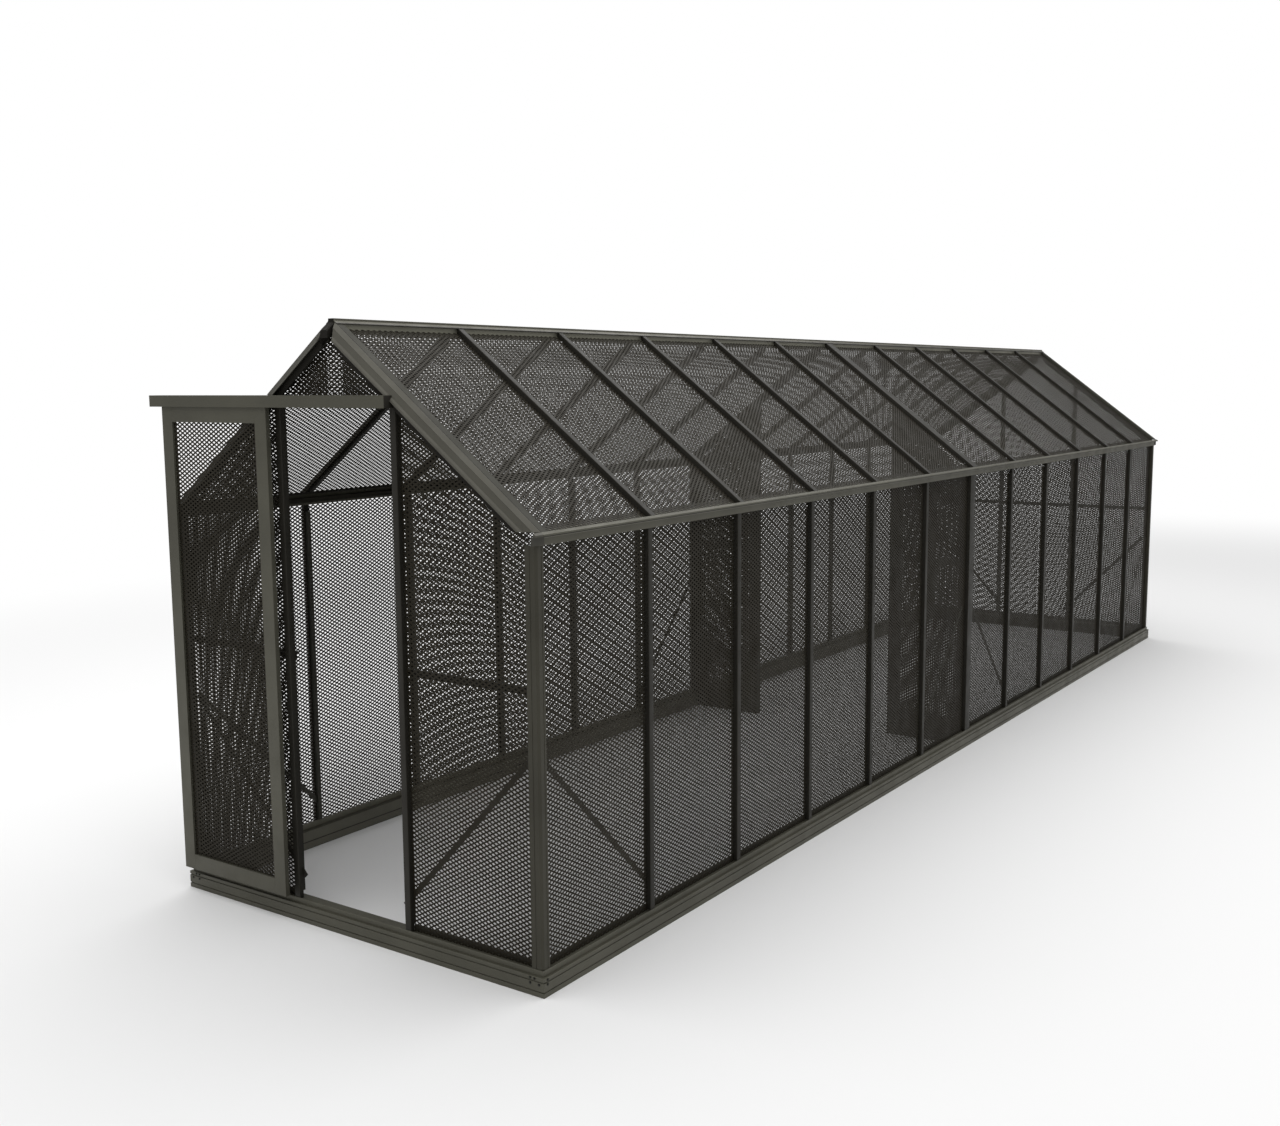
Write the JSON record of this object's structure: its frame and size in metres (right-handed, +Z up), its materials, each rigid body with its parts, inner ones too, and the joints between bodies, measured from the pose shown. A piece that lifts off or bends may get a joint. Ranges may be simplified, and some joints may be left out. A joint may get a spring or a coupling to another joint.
{
  "type": "shade house",
  "caption": "Walk-in shade house with a pitched roof, diamond mesh on a metal frame, an inner partition and a sliding door.",
  "frame": {"origin": "bottom centre of the bounding box, door open", "axes": "+X to the right along the front, +Y from the front with the door to the back, +Z up"},
  "size_m": [1.87, 7.554, 2.229],
  "materials": {
    "frame_coat": "fine matt powder coat, dark olive grey",
    "dark_coat": "matt powder coat, near black",
    "mesh": "coated expanded diamond mesh, near black",
    "nylon": "black nylon"
  },
  "bodies": {
    "house": {"back_bar_left": "dark_coat", "back_bar_right": "dark_coat", "back_mesh": "mesh", "base_rail_back": "frame_coat", "base_rail_front": "frame_coat", "corner_post_back_left": "frame_coat", "corner_post_back_right": "frame_coat", "corner_post_front_left": "frame_coat", "corner_post_front_right": "frame_coat", "door_post_left": "dark_coat", "door_post_right": "dark_coat", "door_track": "frame_coat", "eave_beam_left_front": "frame_coat", "eave_beam_left_rear": "frame_coat", "eave_beam_right_front": "frame_coat", "eave_beam_right_rear": "frame_coat", "front_mesh_left": "mesh", "front_mesh_right": "mesh", "front_mesh_top": "mesh", "gable_rafter_back_left": "frame_coat", "gable_rafter_back_right": "frame_coat", "gable_rafter_front_left": "frame_coat", "gable_rafter_front_right": "frame_coat", "mid_post_left": "dark_coat", "mid_post_right": "dark_coat", "mid_rafter_left": "dark_coat", "mid_rafter_right": "dark_coat", "mid_rail_back": "dark_coat", "mid_rail_front_left": "dark_coat", "mid_rail_front_right": "dark_coat", "partition_frame_left": "dark_coat", "partition_frame_right": "dark_coat", "partition_mesh_left": "mesh", "partition_mesh_right": "mesh", "ridge_beam_front": "frame_coat", "ridge_beam_rear": "frame_coat", "roof_mesh_left_front": "mesh", "roof_mesh_left_rear": "mesh", "roof_mesh_right_front": "mesh", "roof_mesh_right_rear": "mesh", "side_rail_left_front": "frame_coat", "side_rail_left_rear": "frame_coat", "side_rail_right_front": "frame_coat", "side_rail_right_rear": "frame_coat", "wall_mesh_left_front": "mesh", "wall_mesh_left_rear": "mesh", "wall_mesh_right_front": "mesh", "wall_mesh_right_rear": "mesh"},
    "door": {"door_guide_left": "nylon", "door_guide_right": "nylon", "door_mesh": "mesh", "door_rail_bottom": "frame_coat", "door_rail_top": "frame_coat", "door_stile_left": "frame_coat", "door_stile_right": "frame_coat", "hanger_left": "dark_coat", "hanger_right": "dark_coat"},
    "roller_left": {"roller_left": "nylon"},
    "roller_right": {"roller_right": "nylon"}
  },
  "joints": [
    {"name": "door_slide", "type": "slide", "parent": "house", "child": "door", "axis": [1, 0, 0], "range_m": [0, 0.596]},
    {"name": "roller_left_spin", "type": "hinge", "parent": "door", "child": "roller_left", "pos_m": [-0.787, -3.7355, 1.94695], "axis": [0, 1, 0], "range_deg": [-5, 2856]},
    {"name": "roller_right_spin", "type": "hinge", "parent": "door", "child": "roller_right", "pos_m": [-0.375, -3.7355, 1.94695], "axis": [0, 1, 0], "range_deg": [-5, 2856]}
  ],
  "couplings": [
    {"joint": "roller_left_spin", "follows": "door_slide", "rad_per_m": 83.333},
    {"joint": "roller_right_spin", "follows": "door_slide", "rad_per_m": 83.333}
  ]
}
